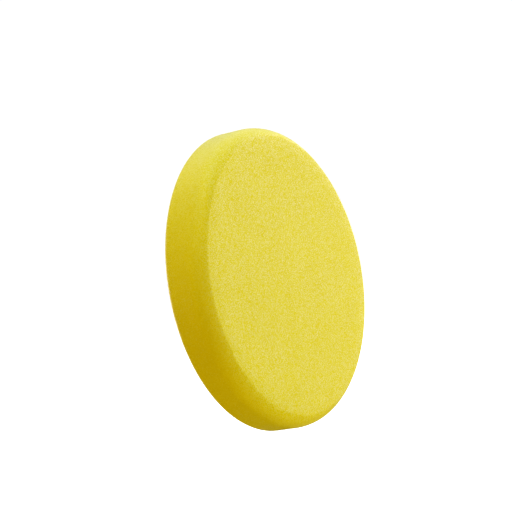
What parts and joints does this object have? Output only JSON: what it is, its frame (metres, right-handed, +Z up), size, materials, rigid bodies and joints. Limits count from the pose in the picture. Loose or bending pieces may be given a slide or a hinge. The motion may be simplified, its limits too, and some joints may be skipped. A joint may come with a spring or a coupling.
{
  "type": "foam polishing pad",
  "caption": "Round foam polishing pad with a flat working face, a softly rounded front rim and a loop-fabric back that sticks to a polisher's hook plate.",
  "frame": {"origin": "centre of the loop face, where the pad's axis meets the machine's backing plate", "axes": "+Y along the pad's axis out of the loop face towards the machine, so the foam's working face faces -Y; +Z up, as the pad is held upright in the picture; the pad is round, so X and Z are alike"},
  "size_m": [0.15, 0.025, 0.15],
  "materials": {
    "foam": "open-cell polyurethane foam, matt, lemon yellow, fine cell grain",
    "adhesive": "hot-melt adhesive film, milky cream, slightly glossy at the edge",
    "ground_knit": "fine warp-knit polyamide ground, white, matt",
    "loop_pile": "napped polyamide loop pile, white, soft sheen"
  },
  "bodies": {
    "root": {"foam_body": "foam", "bond_film": "adhesive", "loop_ground_knit": "ground_knit", "loop_pile": "loop_pile"}
  },
  "joints": []
}
